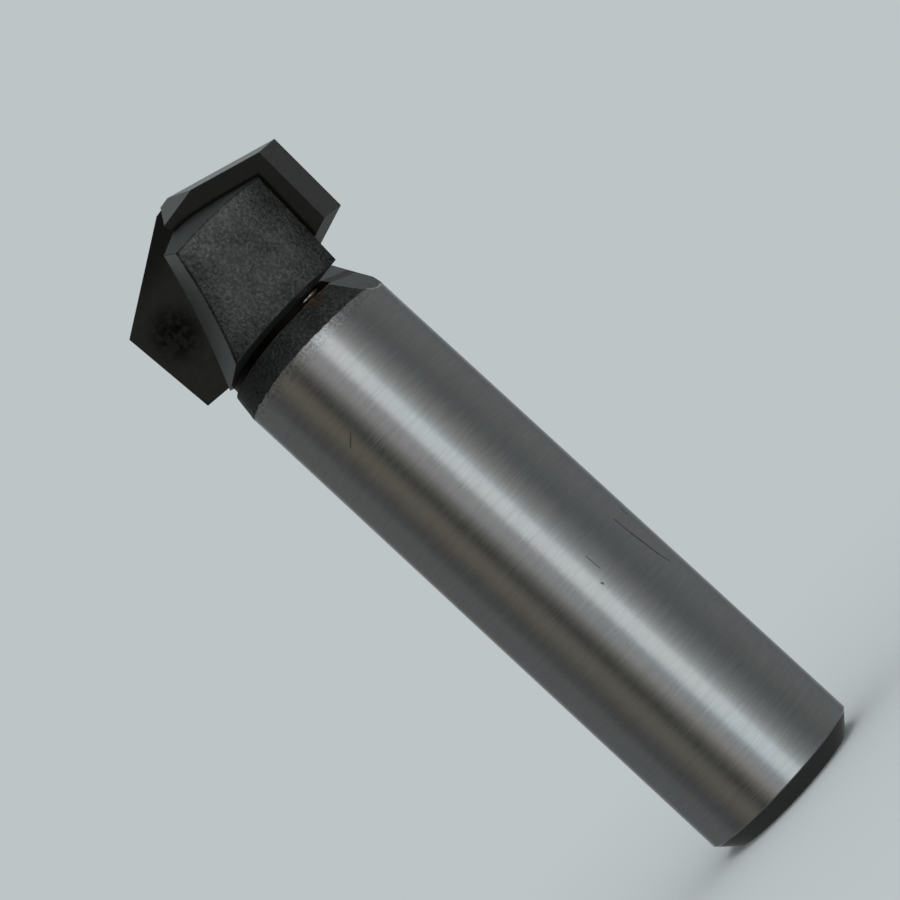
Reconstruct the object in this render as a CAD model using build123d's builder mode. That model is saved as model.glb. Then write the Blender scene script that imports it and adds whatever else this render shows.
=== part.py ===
from build123d import *
from math import atan2, cos, degrees, radians, sin, sqrt, tan
import os

# A two-wing V-groove router bit, standing on the rear face of its shank.
# One steel body is turned in a single piece: shank, tapered end, neck and head.
# Each wing is a carbide plate brazed into a milled seat.
# Stations are measured up the bit's axis, from the rear face of the shank.

# Shank, as a half-inch collet takes it
shank_diameter = 12.7
shank_end_chamfer = 1.25
shank_straight = 43.1
taper_angle = 9.0
taper_length = 1.75

# Neck, the narrow turned recess between the taper and the head
neck_diameter = 11.5
neck_width = 0.43
neck_lead_in = 0.15

# Head, a turned drum with a nose cone that runs parallel to the cutting edges
head_diameter = 15.6
head_length = 7.66
nose_flat_diameter = 3.86

# Cutting geometry
cutting_diameter = 19.05
vee_angle = 135.0
tip_flat_width = 1.81
edge_lead = 1.79
rake_angle = 5.3
rake_past_centre = 0.6

# Carbide plates
plate_thickness = 1.6
side_edge_length = 6.39
second_plate_extra = 0.78
plate_rear_slope = 10.2
vee_relief = 18.9
side_relief = 26.6
tip_relief = 45.0
centre_gap = 0.03

# Seats and the braze that fills the joint
braze_gap = 0.1
seat_wall_angle = 26.06
seat_wall_offset = 0.1

# Gullets, opened by a conical wheel that stands square to the rake face
gullet_radius = 31.0
gullet_flare = 36.7
gullet_station = 3.66
gullet_wall_gaps = (2.39, 3.48)

# Sizes that follow from the ones above
shank_radius = shank_diameter / 2
head_radius = head_diameter / 2
cutting_radius = cutting_diameter / 2
tip_half = tip_flat_width / 2
neck_radius = neck_diameter / 2
nose_slope = tan(radians(90 - vee_angle / 2))
taper_end = shank_straight + taper_length
taper_radius = shank_radius - taper_length * tan(radians(taper_angle))
head_rear = taper_end + neck_lead_in + neck_width
nose_start = head_rear + head_length
nose_front = nose_start + (head_radius - nose_flat_diameter / 2) * nose_slope
corner_station = nose_start - (cutting_radius - head_radius) * nose_slope + edge_lead
tip_station = corner_station + (cutting_radius - tip_half) * nose_slope
seat_depth = plate_thickness + braze_gap

# The bit's own frame: stations run up, and the first wing points along +X
bit = Plane(origin=(0, 0, 0), x_dir=(0, 0, 1), z_dir=(0, 1, 0))


def rake_plane(wing):
    """The plane of one wing's rake face, centred on the station of the cutting corner."""
    corner = Pos(corner_station, 0, -rake_past_centre)
    return Plane(bit * Rot(180 * wing, 0, 0) * corner * Rot(0, -rake_angle, 0))


def seat_wall(u):
    """Distance of the seat's wall from the centre line, at u along the plate from the corner."""
    return seat_wall_offset + (nose_front - corner_station - u) * tan(radians(seat_wall_angle))


def plate_outline(wing, gap):
    """Corners of a plate that stands off the seat's wall by a gap, anticlockwise from the tip."""
    tip_u = (tip_station - corner_station) / cos(radians(rake_angle))
    rear_u = -(side_edge_length + second_plate_extra * wing) / cos(radians(rake_angle))
    corner_v = sqrt(cutting_radius**2 - rake_past_centre**2)
    rear_depth = rake_past_centre - rear_u * sin(radians(rake_angle))
    rear_v = sqrt(cutting_radius**2 - rear_depth**2)
    wall_run = tan(radians(seat_wall_angle))
    rear_run = tan(radians(plate_rear_slope))
    side_v = seat_wall(0) + gap / cos(radians(seat_wall_angle))
    inner_u = (rear_u - rear_run * (rear_v - side_v)) / (1 + rear_run * wall_run)
    centre_u = (side_v - centre_gap) / wall_run
    return [
        (tip_u, centre_gap),
        (tip_u, tip_half),
        (0, corner_v),
        (rear_u, rear_v),
        (inner_u, side_v - inner_u * wall_run),
        (centre_u, centre_gap),
    ]


shank_profile = [
    (0, 0),
    (0, shank_radius - shank_end_chamfer),
    (shank_end_chamfer, shank_radius),
    (shank_straight, shank_radius),
    (taper_end, taper_radius),
    (taper_end + neck_lead_in, neck_radius),
    (head_rear, neck_radius),
]
head_profile = [
    (head_rear, head_radius),
    (nose_start, head_radius),
    (nose_front, nose_flat_diameter / 2),
    (nose_front, 0),
]

with BuildPart() as steel_body:
    with BuildSketch(bit):
        with BuildLine():
            Polyline(*shank_profile, *head_profile, close=True)
        make_face()
    revolve(axis=Axis.Z)

    for wing in (0, 1):
        rake = rake_plane(wing)
        # the seat: a floor behind the plate and a wall along its inner side
        with BuildSketch(rake.offset(-seat_depth)):
            with BuildLine():
                Polyline(
                    (cutting_diameter, seat_wall(cutting_diameter)),
                    (cutting_diameter, cutting_diameter),
                    (-cutting_diameter, cutting_diameter),
                    (-cutting_diameter, seat_wall(-cutting_diameter)),
                    close=True,
                )
            make_face()
        extrude(amount=cutting_diameter, mode=Mode.SUBTRACT)
        # the gullet wheel, with its rim set back from the seat's wall
        reach = gullet_radius + gullet_wall_gaps[wing]
        centre_u = -gullet_station + reach * sin(radians(seat_wall_angle))
        centre_v = seat_wall(-gullet_station) + reach * cos(radians(seat_wall_angle))
        with Locations(rake * Pos(centre_u, centre_v)):
            Cone(
                gullet_radius,
                gullet_radius + cutting_diameter * tan(radians(gullet_flare)),
                cutting_diameter,
                align=(Align.CENTER, Align.CENTER, Align.MIN),
                mode=Mode.SUBTRACT,
            )

steel_body.part.label = "steel_body"

pieces = [steel_body.part]
for wing, name in ((0, "first"), (1, "second")):
    rake = rake_plane(wing)
    outline = plate_outline(wing, braze_gap)

    with BuildPart() as plate:
        with BuildSketch(rake):
            with BuildLine():
                Polyline(*outline, close=True)
            make_face()
        extrude(amount=-plate_thickness)
        # the tip, the vee edge and the side edge are each relieved from the rake face down
        for (u, v), (next_u, next_v), relief in zip(
            outline, outline[1:], (tip_relief, vee_relief, side_relief)
        ):
            heading = degrees(atan2(next_v - v, next_u - u))
            ground = Plane(rake * Pos(u, v) * Rot(0, 0, heading) * Rot(90 + relief, 0, 0))
            split(bisect_by=ground, keep=Keep.BOTTOM)
    plate.part.label = name + "_carbide_plate"
    pieces.append(plate.part)

    # the braze fills the seat under the plate and beside it, as far as the head's own surface
    with BuildPart() as film:
        with BuildSketch(rake.offset(-seat_depth)):
            with BuildLine():
                Polyline(*plate_outline(wing, 0), close=True)
            make_face()
        extrude(amount=seat_depth)
        with BuildSketch(bit):
            with BuildLine():
                Polyline((head_rear, 0), *head_profile, close=True)
            make_face()
        revolve(axis=Axis.Z, mode=Mode.INTERSECT)
        add(plate.part, mode=Mode.SUBTRACT)
    film.part.label = name + "_braze_film"
    pieces.append(film.part)

for piece in pieces:
    print(piece.label, len(piece.solids()), round(piece.volume, 2), piece.bounding_box().size)

os.makedirs("parts", exist_ok=True)
for piece in pieces:
    export_step(piece, "parts/" + piece.label + ".step")
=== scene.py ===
import bpy
import numpy as np
from mathutils import Matrix


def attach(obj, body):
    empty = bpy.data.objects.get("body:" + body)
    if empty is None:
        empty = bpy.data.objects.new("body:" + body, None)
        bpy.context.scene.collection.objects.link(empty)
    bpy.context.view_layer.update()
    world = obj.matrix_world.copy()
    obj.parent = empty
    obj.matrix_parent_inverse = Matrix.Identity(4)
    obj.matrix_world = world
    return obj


# The bit stands on its shank, +Z up its axis, first wing towards +X. Lengths here are metres;
# the materials work in millimetres, read from Object coordinates
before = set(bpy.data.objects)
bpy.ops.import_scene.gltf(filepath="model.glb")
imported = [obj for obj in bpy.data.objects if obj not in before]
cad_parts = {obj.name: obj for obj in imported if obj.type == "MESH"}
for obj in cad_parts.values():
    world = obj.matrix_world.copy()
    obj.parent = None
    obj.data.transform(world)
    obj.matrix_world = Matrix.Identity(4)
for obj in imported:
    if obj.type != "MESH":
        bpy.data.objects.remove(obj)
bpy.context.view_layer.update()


# Shader helper: a wire is one output socket, and sums on wires add their Math nodes

class Wire:
    def __init__(self, paint, socket):
        self.paint, self.socket = paint, socket

    def __add__(self, other):
        return self.paint.maths("ADD", self, other)

    def __radd__(self, other):
        return self.paint.maths("ADD", other, self)

    def __sub__(self, other):
        return self.paint.maths("SUBTRACT", self, other)

    def __rsub__(self, other):
        return self.paint.maths("SUBTRACT", other, self)

    def __mul__(self, other):
        return self.paint.maths("MULTIPLY", self, other)

    def __rmul__(self, other):
        return self.paint.maths("MULTIPLY", other, self)


class Paint:
    def __init__(self, owner):
        owner.use_nodes = True
        self.tree = owner.node_tree
        self.tree.nodes.clear()

    # One node: its type, its settings, then the values or wires of its sockets
    def node(self, kind, settings, sockets, output=0):
        made = self.tree.nodes.new(kind)
        for name, value in settings.items():
            setattr(made, name, value)
        for name, value in sockets.items():
            if isinstance(value, Wire):
                self.tree.links.new(value.socket, made.inputs[name])
            elif made.inputs[name].type == "RGBA":
                made.inputs[name].default_value = (*value, 1.0)
            else:
                made.inputs[name].default_value = value
        return Wire(self, made.outputs[output])

    def maths(self, operation, first, second=0.0, clamped=False):
        settings = {"operation": operation, "use_clamp": clamped}
        return self.node("ShaderNodeMath", settings, {0: first, 1: second})

    def vector(self, operation, first, second=(0.0, 0.0, 0.0), output=0):
        sockets = {0: first, 1: second}
        return self.node("ShaderNodeVectorMath", {"operation": operation}, sockets, output)

    def dot(self, first, second):
        return self.vector("DOT_PRODUCT", first, second, "Value")

    def distance(self, first, second):
        return self.vector("DISTANCE", first, second, "Value")

    def length(self, first):
        return self.vector("LENGTH", first, output="Value")

    def joined(self, x, y, z=0.0):
        return self.node("ShaderNodeCombineXYZ", {}, {0: x, 1: y, 2: z})

    # 0 below low, 1 above high, smooth between them
    def step(self, value, low, high):
        sockets = {"Value": value, "From Min": low, "From Max": high}
        return self.node("ShaderNodeMapRange", {"interpolation_type": "SMOOTHSTEP"}, sockets)

    # 1 below low, 0 above high
    def fall(self, value, low, high):
        return 1.0 - self.step(value, low, high)

    # 1 - share below low, 1 above high
    def rise(self, value, low, high, share):
        return (1.0 - share) + share * self.step(value, low, high)

    # 1 from low to high, fading over the edge on both sides
    def band(self, value, low, high, edge):
        return self.step(value, low - edge, low) * self.fall(value, high, high + edge)

    # Noise about 0.5, with its grain drawn out by the three scales, in grains per millimetre
    def noise(self, place, scales, detail, roughness):
        drawn = self.vector("MULTIPLY", place, scales)
        sockets = {"Vector": drawn, "Scale": 1.0, "Detail": detail, "Roughness": roughness}
        return self.node("ShaderNodeTexNoise", {}, sockets)

    def mix(self, factor, first, second):
        sockets = {0: factor, 6: first, 7: second}
        return self.node("ShaderNodeMix", {"data_type": "RGBA"}, sockets, 2)

    def scaled(self, colour, factor):
        return self.vector("MULTIPLY", colour, self.joined(factor, factor, factor))

    # A table of (place from 0 to 1, colour), blended between its rows
    def table(self, value, rows):
        made = self.node("ShaderNodeValToRGB", {}, {0: value})
        stops = made.socket.node.color_ramp.elements
        stops.remove(stops[1])
        for row, (place, colour) in enumerate(rows):
            stop = stops.new(place) if row else stops[0]
            stop.position, stop.color = place, (*colour, 1.0)
        return made

    def millimetres(self):
        place = self.node("ShaderNodeTexCoord", {}, {}, "Object")
        return self.vector("MULTIPLY", place, (1000.0, 1000.0, 1000.0))

    def axes(self, place):
        return [self.node("ShaderNodeSeparateXYZ", {}, {0: place}, axis) for axis in range(3)]

    # Distance from the segment between two points, in the units of place
    def segment(self, place, start, end):
        run = [b - a for a, b in zip(start, end)]
        offset = self.vector("SUBTRACT", place, start)
        share = self.dot(offset, run) * (1.0 / sum(r * r for r in run))
        return self.distance(offset, self.scaled(run, self.maths("ADD", share, 0.0, True)))

    # Depth is the height of the relief in millimetres
    def metal(self, colour, rough, height, depth):
        relief = {"Height": height, "Distance": depth * 0.001, "Strength": 1.0}
        sockets = {"Base Color": colour, "Roughness": rough, "Metallic": 1.0}
        sockets["Normal"] = self.node("ShaderNodeBump", {}, relief)
        self.close(self.node("ShaderNodeBsdfPrincipled", {}, sockets))

    def close(self, shader, kind="ShaderNodeOutputMaterial"):
        end = self.tree.nodes.new(kind)
        self.tree.links.new(shader.socket, end.inputs["Surface"])


def newPaint(name):
    material = bpy.data.materials.new(name)
    return material, Paint(material)


def dress(thing, material):
    thing.data.materials.clear()
    thing.data.materials.append(material)


def linked(thing):
    bpy.context.scene.collection.objects.link(thing)
    return thing


# A mesh from one point, then rings of points, each joined round on itself, and one last point
# where the mesh is closed at its far end too
def ringMesh(name, points, rings, across, closed):
    column = np.arange(across)
    beside = (column + 1) % across
    row = np.arange(rings - 1)[:, None] * across + 1
    quads = [row + column, row + across + column, row + across + beside, row + beside]
    faces = np.stack(quads, -1).reshape(-1, 4).tolist()
    faces += np.stack([0 * column, column + 1, beside + 1], -1).tolist()
    if closed:
        last = (rings - 1) * across + 1
        faces += np.stack([last + column, 0 * column + last + across, last + beside], -1).tolist()
    mesh = bpy.data.meshes.new(name)
    mesh.from_pydata(points.tolist(), [], faces)
    return linked(bpy.data.objects.new(name, mesh))


# The turned form of the bit, the wheels that cut its gullets and the faces of its plates, in
# millimetres: wear and dirt follow them. A wheel is the centre and the axis of a cone. The rake
# face of the wing towards +X holds the points whose product with rakeNormal is rakeOffset
form = {
    "shankRadius": 6.35,
    "shoulder": 43.1,
    "taperSlope": 0.1584,
    "taperTop": 44.85,
    "neckTop": 45.43,
    "neckRim": 6.07,
    "drumRadius": 7.8,
    "drumTop": 53.09,
    "noseSlope": 0.41421,
    "noseCosine": 0.92,
    "wheels": [
        ((32.548, 0.4168, 65.126), (0.0, 0.99572, -0.09237)),
        ((-33.527, -0.4610, 65.603), (0.0, -0.99572, -0.09237)),
    ],
    "wheelRadius": 31.0,
    "wheelSlope": 0.74538,
    "wheelCosine": 0.802,
    "seatDepth": 1.7,
    "rakeNormal": (0.0, 0.99572, -0.09237),
    "rakeOffset": -5.6007,
    "plateThick": 1.6,
}

# Soot and burnt flux with painted shade, in the steel's neck and in the joints beside the plates
sootAndShade = (0.013, 0.011, 0.009)


# Steel body: ground shank, sand-blasted drum and taper, black neck of soot and painted shade,
# smooth nose and gullets. A grain is its scales, detail and roughness. A range, reach or border
# is where a change begins and ends, and a band or line adds how far it fades on each side.
# Painted shade and lines end with the share of light that they take. The border of the blasting
# counts from the shoulder, the band of the rim's painted highlight from the taper's top, and the
# line of the nose from the drum's. A scratch runs between two points of the unrolled shank,
# (station, arc from the first wing), and ends with its width
steelLook = {
    "warm": (0.488, 0.490, 0.482),
    "cool": (0.466, 0.494, 0.504),
    "blasted": (0.137, 0.144, 0.139),
    "taper": (0.100, 0.107, 0.102),
    "cut": (0.118, 0.126, 0.124),
    "nose": (0.046, 0.049, 0.048),
    "lipHighlight": (0.42, 0.42, 0.40),
    "lipHighlightReach": (0.06, 0.11),
    "lipHighlightShare": 0.8,
    "blastBorder": (-0.16, -0.08),
    "gulletBorder": (0.01, 0.04),
    "stain": (0.19, 0.100, 0.060),
    "stainPlace": (4.55, -3.98, 44.83),
    "stainReach": (0.1, 0.9),
    "stainRange": (0.42, 0.60),
    "rim": (0.27, 0.195, 0.145),
    "rimBand": (-0.05, 0.02, 0.03),
    "rimReach": (1.0, 6.0),
    "rimRange": (0.36, 0.52),
    "wave": ((1.3, 1.3, 1.3), 2.0, 0.5),
    "marks": ((0.7, 0.7, 14.0), 3.0, 0.6),
    "streaks": ((0.4, 0.4, 4.5), 3.0, 0.6),
    "tint": ((0.55, 0.55, 0.035), 2.0, 0.5),
    "grit": ((4.6, 4.6, 4.6), 4.0, 0.66),
    "cloud": ((0.5, 0.5, 0.5), 2.0, 0.5),
    "lines": ((5.0, 1.2, 1.2), 2.0, 0.5),
    "tintRange": (0.38, 0.62),
    "gritRange": (0.30, 0.70),
    "waveDepth": 0.3,
    "shankShade": 0.76,
    "marksShade": 0.22,
    "streaksShade": 0.26,
    "blastedShade": 0.36,
    "gritShade": 0.92,
    "cloudShade": 0.36,
    "cutShade": 0.78,
    "linesShade": 0.44,
    "speckleLength": 1.6,
    "speckleMiddle": 0.62,
    "speckleShade": 0.6,
    "scratchShade": 0.55,
    "scratchCore": 0.35,
    "edgeShade": (0.0, 1.3, 0.26),
    "seamShade": (0.0, 2.4, 0.38),
    "footShade": (45.4, 47.4, 0.24),
    "noseLightRange": (50.3, 53.0),
    "noseLightReach": (1.5, 4.5),
    "noseLightShare": 0.40,
    "noseLine": (-0.12, 0.0, 0.05, 0.5),
    "drumShadowLine": (0.05, 0.13, 0.05, 0.6),
    "taperShadowLine": (0.14, 0.26, 0.06, 0.8),
    "litSide": (0.9113, 0.4116, 0.0),
    "sideShade": (-5.5, 1.5, 0.45),
    "shankRough": 0.215,
    "marksRough": 0.24,
    "speckleRough": 0.08,
    "scratchRough": 0.2,
    "blastedRough": 0.46,
    "cutRough": 0.40,
    "noseRough": 0.22,
    "grainRough": 0.2,
    "relief": 0.05,
    "marksRelief": 0.10,
    "speckleRelief": 0.12,
    "scratchRelief": 0.25,
    "linesRelief": 0.05,
    "scratches": [
        ((20.82, 0.40), (20.28, 0.40), 0.10),
        ((20.68, -1.40), (19.25, -1.26), 0.08),
        ((19.25, -1.26), (16.89, -0.85), 0.12),
        ((16.89, -0.85), (16.14, -0.53), 0.08),
        ((20.37, -5.19), (19.19, -5.15), 0.04),
        ((37.03, -9.72), (36.41, -10.53), 0.08),
        ((18.46, -5.78), (18.38, -5.74), 0.11),
    ],
}


# Distances from the nearer gullet's edge and from the nearer seat's floor. Each gullet is a cone
# about its wheel's axis: it widens along the axis from its base, in the plane of the rake face
def gulletDistances(p, place):
    far = 100.0
    edge, seam = far, far
    for centre, axis in form["wheels"]:
        offset = p.vector("SUBTRACT", place, centre)
        height = p.dot(offset, axis)
        reach = p.length(p.vector("SUBTRACT", offset, p.scaled(axis, height)))
        wall = (reach - form["wheelRadius"] - height * form["wheelSlope"]) * form["wheelCosine"]
        edge = p.maths("MINIMUM", edge, p.maths("MAXIMUM", wall, 0.0 - height))
        seam = p.maths("MINIMUM", seam, p.maths("ABSOLUTE", height + form["seatDepth"]))
    return edge, seam


# How far a point lies on the shank, drum, taper, neck and nose, each from 0 to 1. A skin is the
# depth that still counts as the surface, and line and thin are the widths of borders. The
# blasting ends in a slightly wavy line round the shoulder
def steelRegions(p, look, radius, station, waved, offGullet):
    skin, taperSkin, line, thin = 0.05, 0.03, 0.02, 0.01
    blastFrom, blastTo = [form["shoulder"] + border for border in look["blastBorder"]]
    shank = p.step(radius, form["shankRadius"] - 2 * skin, form["shankRadius"] - skin)
    shank = p.fall(waved, blastFrom, blastTo) * shank
    aboveDrum = p.step(station, form["drumTop"] - line, form["drumTop"] + line)
    drum = p.step(radius, form["drumRadius"] - 2 * skin, form["drumRadius"] - skin)
    drum = drum * (1.0 - aboveDrum)
    taperRadius = form["shankRadius"] - (station - form["shoulder"]) * form["taperSlope"]
    taper = p.step(radius - taperRadius, -2 * taperSkin, -taperSkin)
    taper = taper * p.step(waved, blastFrom, blastTo)
    taper = taper * p.fall(station, form["taperTop"], form["taperTop"] + line)
    neck = p.band(station, form["taperTop"] + thin, form["neckTop"] - thin, thin)
    neck = neck * p.fall(radius, form["neckRim"], form["neckRim"] + 2 * line) * offGullet
    nose = (form["drumRadius"] - radius) * form["noseSlope"] - (station - form["drumTop"])
    nose = p.band(nose, -2 * line, 2 * line, line) * aboveDrum
    return shank, drum, taper, neck, nose


def steelPaint(look):
    material, p = newPaint("groundSteel")
    place = p.millimetres()
    x, y, station = p.axes(place)
    radius = p.length(p.joined(x, y))
    edge, seam = gulletDistances(p, place)
    offGullet = p.step(edge, *look["gulletBorder"])
    wave = p.noise(place, *look["wave"])
    waved = station + (wave - 0.5) * look["waveDepth"]
    regions = steelRegions(p, look, radius, station, waved, offGullet)
    onShank, onDrum, onTaper, inNeck, onNose = regions
    onBlasted = p.maths("MAXIMUM", onDrum, onTaper)
    rest = 1.0 - p.maths("MAXIMUM", onShank, onBlasted)
    # grinding marks run round the shank, tints along it, and coarse grit covers the blasted faces
    marks = p.noise(place, *look["marks"])
    streaks = p.noise(place, *look["streaks"])
    tint = p.step(p.noise(place, *look["tint"]), *look["tintRange"])
    grit = p.step(p.noise(place, *look["grit"]), *look["gritRange"])
    cloud = p.step(p.noise(place, *look["cloud"]), *look["gritRange"])
    lines = p.noise(place, *look["lines"])
    # a little blasting has caught the shank just below the shoulder
    below = p.step(station, form["shoulder"] - look["speckleLength"], form["shoulder"])
    caught = below * grit
    unrolled = p.joined(station, p.maths("ARCTAN2", y, x) * form["shankRadius"])
    scratched = 0.0
    for start, end, wide in look["scratches"]:
        away = p.segment(unrolled, (*start, 0.0), (*end, 0.0))
        scratched = p.maths("MAXIMUM", scratched, p.fall(away, wide * look["scratchCore"], wide))
    scratched = scratched * onShank
    shade = look["shankShade"] + marks * look["marksShade"] + streaks * look["streaksShade"]
    shade = shade * (1.0 + below * (grit - look["speckleMiddle"]) * look["speckleShade"])
    shade = shade * (1.0 - scratched * look["scratchShade"])
    shank = p.scaled(p.mix(tint, look["warm"], look["cool"]), shade)
    # painted shade darkens the drum near its gullet edges, plate seats and foot, and painted light
    # makes it lighter up at the nose
    paintedShading = p.rise(edge, *look["edgeShade"]) * p.rise(seam, *look["seamShade"])
    paintedShading = paintedShading * p.rise(station, *look["footShade"])
    pale = p.step(station, *look["noseLightRange"]) * p.step(seam, *look["noseLightReach"])
    paintedShading = paintedShading * (1.0 + look["noseLightShare"] * pale)
    *line, share = look["noseLine"]
    paintedShading = paintedShading * (1.0 - share * p.band(station - form["drumTop"], *line))
    # painted shade darkens one side of the taper, away from litSide
    sideShading = p.rise(p.dot(place, look["litSide"]), *look["sideShade"])
    paintedShading = paintedShading * onDrum + sideShading * (1.0 - onDrum)
    # a dark line of painted shadow borders each gullet, and on the taper a painted highlight
    # marks the burr before it
    for name, face in (("drumShadowLine", onDrum), ("taperShadowLine", onTaper)):
        *line, share = look[name]
        paintedShading = paintedShading * (1.0 - share * p.band(edge, *line) * face)
    shade = look["blastedShade"] + grit * look["gritShade"] + cloud * look["cloudShade"]
    blasted = p.scaled(p.mix(onTaper, look["blasted"], look["taper"]), shade * paintedShading)
    # the burr's bright line is a painted highlight
    burrHighlight = p.fall(edge, *look["lipHighlightReach"]) * onTaper
    blasted = p.mix(burrHighlight * look["lipHighlightShare"], blasted, look["lipHighlight"])
    shade = look["cutShade"] + lines * look["linesShade"]
    cut = p.scaled(p.mix(onNose, look["cut"], look["nose"]), shade)
    # beside a brown stain, a coppery painted highlight catches the rim of the neck in places
    fromStain = p.distance(place, look["stainPlace"])
    stained = p.fall(fromStain, *look["stainReach"]) * p.step(wave, *look["stainRange"])
    stained = stained * (1.0 - onShank)
    rim = p.band(station - form["taperTop"], *look["rimBand"]) * offGullet
    rim = rim * p.step(wave, *look["rimRange"]) * p.fall(fromStain, *look["rimReach"])
    # the neck is painted black: soot, and painted shade in its recess
    colour = p.mix(onBlasted, p.mix(inNeck, cut, sootAndShade), blasted)
    colour = p.mix(stained, p.mix(onShank, colour, shank), look["stain"])
    colour = p.mix(rim, colour, look["rim"])
    ground = look["shankRough"] + (marks - 0.5) * look["marksRough"]
    ground = ground + caught * look["speckleRough"] + scratched * look["scratchRough"]
    smooth = look["cutRough"] + onNose * look["noseRough"] + (lines - 0.5) * look["grainRough"]
    rough = ground * onShank + smooth * rest
    rough = rough + (look["blastedRough"] + (grit - 0.5) * look["grainRough"]) * onBlasted
    height = marks * look["marksRelief"] + caught * look["speckleRelief"]
    height = (height - scratched * look["scratchRelief"]) * onShank
    height = height + grit * onBlasted + lines * rest * look["linesRelief"]
    p.metal(colour, rough, height, look["relief"])
    return material


dress(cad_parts["steel_body"], steelPaint(steelLook))


# Carbide plates: dark pressed backs and rake faces, lighter ground lands and flanks. Blotches lie
# round stainPlace on each rake face, with painted shade darkening the face round them, and from
# one station of tipRange to the other the rake face grows darker. A shade is its base and how far
# its noise changes it
carbideLook = {
    "pressed": (0.067, 0.075, 0.073),
    "mottleShade": (0.75, 0.5),
    "rakePaler": 0.22,
    "tipDarker": 0.60,
    "tipRange": (54.2, 56.4),
    "shadeDarker": 0.45,
    "ground": (0.170, 0.174, 0.166),
    "linesShade": (0.8, 0.4),
    "stain": (0.012, 0.012, 0.010),
    "stainShare": 0.85,
    "stainPlace": (6.8, -0.8, 51.8),
    "stainReach": (0.6, 2.8),
    "stainRange": (0.40, 0.53),
    "fluxAndShadeReach": (0.12, 0.30),
    "fluxAndShadeShare": 0.85,
    "lines": ((2.0, 2.0, 14.0), 2.0, 0.5),
    "mottle": ((1.5, 1.5, 1.5), 3.0, 0.6),
    "rough": 0.36,
    "linesRough": 0.2,
    "stainRough": 0.08,
    "relief": 0.002,
}


def carbidePaint(look):
    material, p = newPaint("carbide")
    place = p.millimetres()
    x, y, station = p.axes(place)
    # half a turn about the axis lays the second wing on the first
    side = p.maths("SIGN", x)
    folded = p.joined(x * side, y * side, station)
    # 0 on the rake face, and minus the thickness of the plate on its back
    depth = p.dot(folded, form["rakeNormal"]) - form["rakeOffset"]
    back = -form["plateThick"]
    line, rakeSkin, backSkin = 0.02, 0.05, 0.04
    onGround = p.band(depth, back + line, -line, line / 2)
    onRake = p.step(depth, -2 * rakeSkin, -rakeSkin)
    onBack = p.fall(depth, back + backSkin, back + 2 * backSkin)
    lines = p.noise(place, *look["lines"])
    mottle = p.noise(place, *look["mottle"])
    # the rake face has dark blotches, painted shade round them, and grows darker towards the tip
    near = p.fall(p.distance(folded, look["stainPlace"]), *look["stainReach"])
    blotch = p.step(mottle, *look["stainRange"]) * near * onRake
    pressed = p.mix(blotch * look["stainShare"], look["pressed"], look["stain"])
    rake = look["rakePaler"] - look["tipDarker"] * p.step(station, *look["tipRange"])
    rake = rake - look["shadeDarker"] * near
    base, change = look["mottleShade"]
    pressed = p.scaled(pressed, (base + mottle * change) * (1.0 + onRake * rake))
    base, change = look["linesShade"]
    colour = p.mix(onGround, pressed, p.scaled(look["ground"], base + lines * change))
    # burnt flux and painted shade darken a line on the back, along the steel head's outline
    radius = p.length(p.joined(x, y))
    nose = station - form["drumTop"] - (form["drumRadius"] - radius) * form["noseSlope"]
    outline = p.maths("MAXIMUM", nose * form["noseCosine"], radius - form["drumRadius"])
    fluxAndShade = p.fall(outline, *look["fluxAndShadeReach"]) * onBack
    colour = p.mix(fluxAndShade * look["fluxAndShadeShare"], colour, sootAndShade)
    rough = look["rough"] + (lines - 0.5) * look["linesRough"] + blotch * look["stainRough"]
    p.metal(colour, rough, lines, look["relief"])
    return material


carbide = carbidePaint(carbideLook)
dress(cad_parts["first_carbide_plate"], carbide)
dress(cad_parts["second_carbide_plate"], carbide)


# Braze: blackened with flux in the thin joints, bright copper in one small run in the neck. The
# run lies on an arc between two bearings in degrees, its sizes in metres, and its middle is raised
# from the neck by a share of its thickness
filmLook = {
    "name": "brazeFilm",
    "colour": (0.16, 0.085, 0.05),
    "dull": (0.020, 0.016, 0.013),
    "bright": (0.60, 0.72),
    "rough": 0.5,
}
beadLook = {
    "name": "brazeBead",
    "colour": (0.96, 0.86, 0.80),
    "dull": (0.40, 0.22, 0.14),
    "bright": (0.40, 0.52),
    "rough": 0.24,
}
patchLook = {
    "grain": ((2.2, 2.2, 2.2), 3.0, 0.6),
    "rough": 0.2,
    "relief": 0.01,
}
beadForm = {
    "from": -48.5,
    "to": -34.5,
    "station": 0.04513,
    "climb": 0.00007,
    "neckRadius": 0.00575,
    "thick": 0.00011,
    "raised": 0.35,
    "lumps": 3,
    "lumpShare": 0.14,
    "lumpPhase": 2.6,
}


def brazePaint(look):
    material, p = newPaint(look["name"])
    patches = p.noise(p.millimetres(), *patchLook["grain"])
    colour = p.mix(p.step(patches, *look["bright"]), look["dull"], look["colour"])
    rough = look["rough"] + patches * patchLook["rough"]
    p.metal(colour, rough, patches, patchLook["relief"])
    return material


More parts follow.
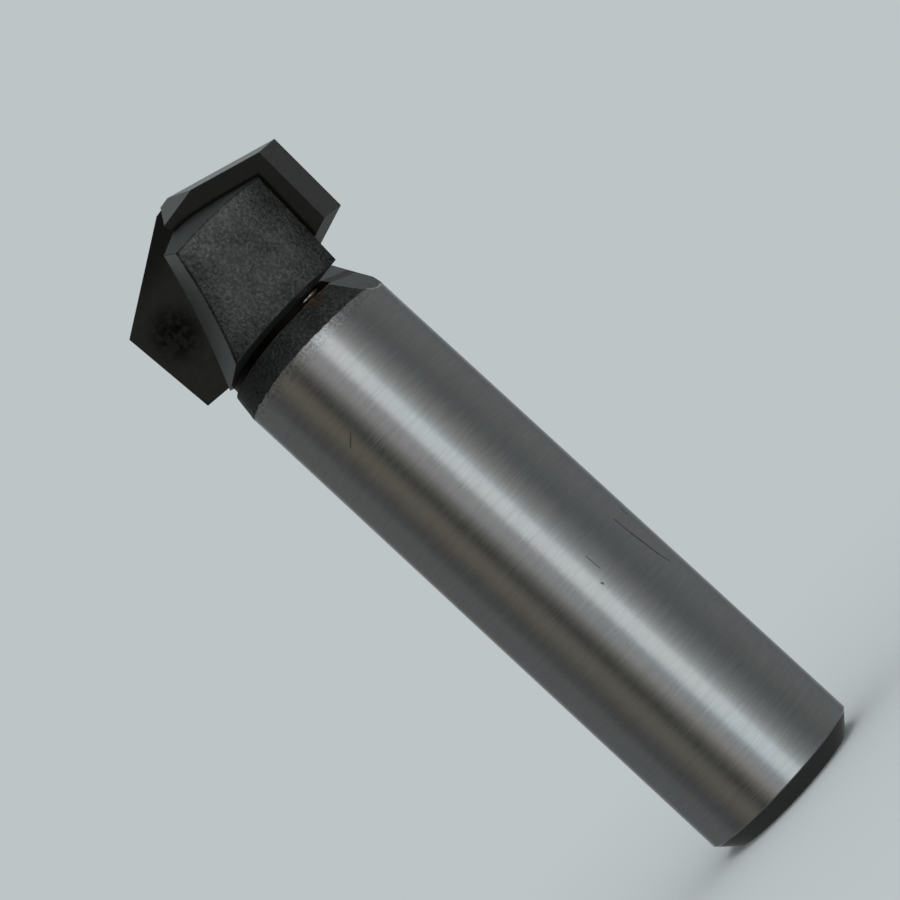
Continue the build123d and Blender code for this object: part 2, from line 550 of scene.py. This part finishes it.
# A run along an arc of the neck: at each angle its section is a circle of radius thick times
# the square root of sin(pi times the share of the arc), swelling in soft lumps as the cosine of
# that share. The first and last rings have no width, so one point stands for each
def brazeBead(look):
    rings, across = 59, 16
    along = np.linspace(0.0, 1.0, rings + 2)
    turn = np.linspace(0.0, 2 * np.pi, across + 1)[:-1]
    angle = np.radians(look["from"] + (look["to"] - look["from"]) * along)[:, None]
    wide = look["thick"] * np.sqrt(np.sin(np.pi * along))[:, None]
    lumps = np.cos(look["lumps"] * 2 * np.pi * along + look["lumpPhase"])[:, None]
    wide = wide * (1.0 + look["lumpShare"] * (lumps - 1.0))
    out = look["neckRadius"] + look["thick"] * look["raised"] + wide * np.cos(turn)
    up = look["station"] + look["climb"] * along[:, None] + wide * np.sin(turn)
    points = np.stack([out * np.cos(angle), out * np.sin(angle), up], axis=-1).reshape(-1, 3)
    bead = ringMesh("braze_bead", points[across - 1:1 - across], rings, across, True)
    bead.data.shade_smooth()
    return bead


film = brazePaint(filmLook)
dress(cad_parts["first_braze_film"], film)
dress(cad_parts["second_braze_film"], film)
bead = brazeBead(beadForm)
dress(bead, brazePaint(beadLook))
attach(bead, "root")
print("bit dressed")


# The camera as fitted to the photograph: its place, and its right, up and backward directions
view = {
    "place": (0.0636946, -0.1382370, 0.0194521),
    "right": (0.5926291, 0.3337609, -0.7330097),
    "up": (0.6930929, 0.2522398, 0.6752091),
    "back": (0.4102965, -0.9082716, -0.0818426),
    "lens": 90.694,
    "sensor": 36.0,
    "clipStart": 0.005,
}

# Level directions from the bit: towards the camera, and to the right of the upright shank
towards = np.array([view["back"][0], view["back"][1], 0.0])
towards = towards / np.linalg.norm(towards)
rightward = np.array([-towards[1], towards[0], 0.0])


# Floor, backdrop and the dim room that the metal mirrors. The floor fades into the backdrop from
# fadeFrom to fadeTo. Each row of the room is a bearing from the camera's in degrees, its
# brightness, where 1 is white, and how warm it is: red and blue say how much of the brightness
# each takes, and how that changes with warmth. The room gives way to plain colours above and below
# it over the sines of a ray's rise, and to the pale surface behind the bit over the cosines of its
# angle from there
studio = {
    "pale": (0.515, 0.558, 0.571),
    "fill": 1.20,
    "floor": (0.66, 0.672, 0.672),
    "floorRadius": 3.0,
    "fadeFrom": 0.03,
    "fadeTo": 0.13,
    "above": (0.15, 0.16, 0.16),
    "aboveEdge": (0.35, 0.80),
    "below": (0.120, 0.125, 0.122),
    "belowEdge": (-0.60, -0.20),
    "behind": (-0.3374, 0.7473, 0.5700),
    "behindEdge": (0.84, 0.95),
    "red": (0.98, 0.07),
    "blue": (1.01, -0.09),
    "room": [
        (-180, 0.50, 0), (-168, 0.40, 0), (-152, 0.13, 0), (-129, 0.14, 0), (-110, 0.145, 0),
        (-100, 0.14, 0), (-90, 0.090, 0), (-80, 0.085, 0.4), (-71, 0.110, 1.2), (-62, 0.148, 2.4),
        (-54, 0.165, 2.4), (-46, 0.125, 2.0), (-38, 0.030, 2.0), (-30, 0.100, 2.0),
        (-22, 0.22, 1.4), (-16, 0.40, 0.5), (-7, 0.40, -0.1), (0, 0.36, -0.5), (6, 0.26, -0.6),
        (18, 0.28, -0.3), (30, 0.54, 0.2), (38, 0.33, 0.3), (46, 0.255, 0.3), (54, 0.205, 0.3),
        (62, 0.156, 0.2), (75, 0.140, 0), (90, 0.165, 0), (110, 0.186, 0), (129, 0.184, 0),
        (152, 0.14, 0), (168, 0.40, 0), (180, 0.50, 0),
    ],
}


# Rings of points on a flat disc, their radius growing with the square of the ring's share
def floorDisc(look):
    rings, across = 32, 64
    share = np.linspace(0.0, 1.0, rings + 1)[1:] ** 2
    turn = np.linspace(0.0, 2 * np.pi, across + 1)[:-1]
    ring = look["floorRadius"] * share[:, None]
    points = np.stack([ring * np.cos(turn), ring * np.sin(turn), 0 * ring * turn], axis=-1)
    points = np.vstack([[[0.0, 0.0, 0.0]], points.reshape(-1, 3)])
    floor = ringMesh("floor", points, rings, across, False)
    material, p = newPaint("paleFloor")
    radius = p.length(p.node("ShaderNodeTexCoord", {}, {}, "Object"))
    far = p.step(radius, look["fadeFrom"], look["fadeTo"])
    plain = p.node("ShaderNodeBsdfDiffuse", {}, {"Color": look["floor"]})
    glow = p.node("ShaderNodeEmission", {}, {"Color": look["pale"], "Strength": 1.0})
    seen = p.node("ShaderNodeLightPath", {}, {}, "Is Camera Ray")
    p.close(p.node("ShaderNodeMixShader", {}, {0: far * seen, 1: plain, 2: glow}))
    dress(floor, material)
    floor.visible_glossy = False  # the steel mirrors the room and the soft boxes alone
    floor.visible_shadow = False


# Mirror rays see the room, camera rays the plain backdrop, and the rest a pale fill light
def paleWorld(look):
    world = bpy.data.worlds.new("paleWorld")
    bpy.context.scene.world = world
    p = Paint(world)
    ray = p.node("ShaderNodeTexCoord", {}, {}, "Generated")
    aside, ahead = p.dot(ray, rightward.tolist()), p.dot(ray, towards.tolist())
    rise = p.axes(ray)[2]
    bearing = p.maths("ARCTAN2", aside, ahead) * (0.5 / np.pi) + 0.5
    (red, redder), (blue, bluer) = look["red"], look["blue"]
    rows = []
    for degrees, level, warm in look["room"]:
        colour = (level * (red + redder * warm), level, level * (blue + bluer * warm))
        rows.append((degrees / 360 + 0.5, colour))
    room = p.mix(p.step(rise, *look["aboveEdge"]), p.table(bearing, rows), look["above"])
    room = p.mix(p.step(rise, *look["belowEdge"]), look["below"], room)
    behind = p.step(p.dot(ray, look["behind"]), *look["behindEdge"])
    room = p.mix(behind, room, look["pale"])
    mirrored = p.node("ShaderNodeLightPath", {}, {}, "Is Glossy Ray")
    seen = p.node("ShaderNodeLightPath", {}, {}, "Is Camera Ray")
    through = p.node("ShaderNodeLightPath", {}, {}, "Is Transmission Ray")
    pale = look["pale"]
    fill = p.node("ShaderNodeBackground", {}, {"Color": pale, "Strength": look["fill"]})
    backdrop = p.node("ShaderNodeBackground", {}, {"Color": pale, "Strength": 1.0})
    around = p.node("ShaderNodeBackground", {}, {"Color": room, "Strength": 1.0})
    lit = p.node("ShaderNodeMixShader", {}, {0: mirrored, 1: fill, 2: around})
    lit = p.node("ShaderNodeMixShader", {}, {0: seen + through, 1: lit, 2: backdrop})
    p.close(lit, "ShaderNodeOutputWorld")


floorDisc(studio)
paleWorld(studio)


# A matrix from a place and the directions of the thing's own x, y and z
def stance(spot, x, y, z):
    return Matrix.Translation(spot) @ Matrix([x, y, z]).transposed().to_4x4()


def photoCamera(look):
    camera = linked(bpy.data.objects.new("camera", bpy.data.cameras.new("camera")))
    camera.data.lens = look["lens"]
    camera.data.sensor_width = look["sensor"]
    camera.data.clip_start = look["clipStart"]
    camera.matrix_world = stance(look["place"], look["right"], look["up"], look["back"])
    bpy.context.scene.camera = camera


photoCamera(view)


# Soft boxes face the bit at aim. Bearings count from the camera's towards the right of the shank,
# and rise and bearing are in degrees; glow is the brightness of a box's face, where 1 is white
aim = np.array([0.0, 0.0, 0.03])
lamps = {
    "key": {"bearing": 14.0, "rise": -2.0, "far": 0.45, "wide": 0.175, "tall": 0.56,
            "glow": 0.72, "colour": (0.95, 1.0, 1.01)},
    "overhead": {"bearing": 20.0, "rise": 75.0, "far": 0.60, "wide": 0.60, "tall": 0.60,
                 "glow": 0.63, "colour": (1.0, 1.0, 1.0)},
}


def softBox(name, look):
    bearing, rise = np.radians(look["bearing"]), np.radians(look["rise"])
    level = np.cos(bearing) * towards + np.sin(bearing) * rightward
    out = np.cos(rise) * level + np.array([0.0, 0.0, np.sin(rise)])
    side = np.cross([0.0, 0.0, 1.0], level)
    data = bpy.data.lights.new(name, "AREA")
    data.shape = "RECTANGLE"
    data.size, data.size_y = look["wide"], look["tall"]
    data.energy = look["glow"] * np.pi * look["wide"] * look["tall"]
    data.color = look["colour"]
    lamp = linked(bpy.data.objects.new(name, data))
    spot = (look["far"] * out + aim).tolist()
    lamp.matrix_world = stance(spot, side.tolist(), np.cross(out, side).tolist(), out.tolist())
    lamp.visible_camera = False


for name, look in lamps.items():
    softBox(name, look)
bpy.context.scene.view_settings.view_transform = "Standard"
print("studio lit")
